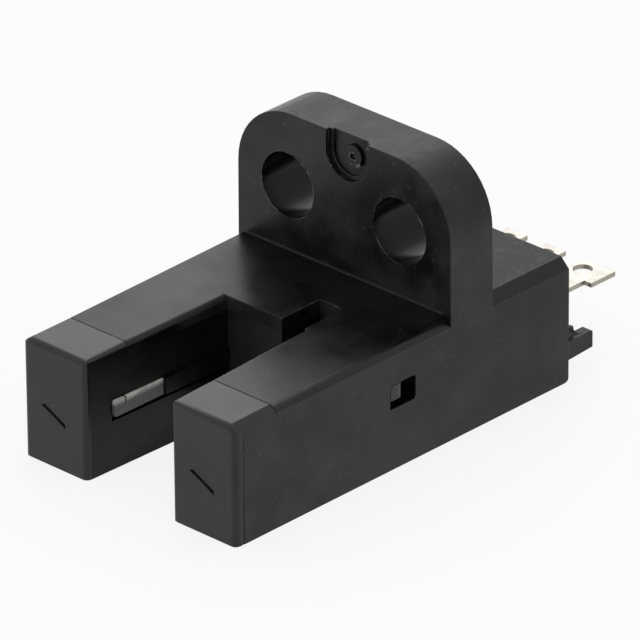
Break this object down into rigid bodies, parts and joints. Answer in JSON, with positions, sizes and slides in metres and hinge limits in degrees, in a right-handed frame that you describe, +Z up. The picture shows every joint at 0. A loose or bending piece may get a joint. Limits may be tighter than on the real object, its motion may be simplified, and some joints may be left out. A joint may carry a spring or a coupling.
{
  "type": "photo sensor",
  "caption": "Slotted photo sensor with a sensing slot between its arms, an upright mounting flange with screw holes, and flat solder terminals at the rear.",
  "frame": {"origin": "below the middle of the overall box, on the flat underside", "axes": "+X across the slot towards the receiver arm, +Y from the tips of the arms to the solder terminals, +Z up from the underside to the top of the flange"},
  "size_m": [0.0138, 0.0282, 0.0137],
  "materials": {
    "case_plastic": "matt moulded",
    "cover_plastic": "satin moulded",
    "filter_window": "polished",
    "clear_epoxy": "polished",
    "smoked_epoxy": "polished",
    "tinned_copper": "tin plated",
    "tinned_brass": "tin plated",
    "glass_epoxy": "satin laminate",
    "moulded_epoxy": "matt moulded",
    "resistor_ceramic": "glazed",
    "capacitor_ceramic": "fired"
  },
  "bodies": {
    "root": {"case": "case_plastic", "slot_cover": "cover_plastic", "emitter_window": "filter_window", "receiver_window": "filter_window", "infrared_emitter": "clear_epoxy", "photo_receiver": "smoked_epoxy", "emitter_lead_1": "tinned_copper", "emitter_lead_2": "tinned_copper", "receiver_lead_1": "tinned_copper", "receiver_lead_2": "tinned_copper", "receiver_lead_3": "tinned_copper", "circuit_board": "glass_epoxy", "amplifier_chip": "moulded_epoxy", "emitter_resistor": "resistor_ceramic", "output_resistor": "resistor_ceramic", "supply_capacitor": "capacitor_ceramic", "terminal_1": "tinned_brass", "terminal_2": "tinned_brass", "terminal_3": "tinned_brass", "terminal_4": "tinned_brass"}
  },
  "joints": []
}
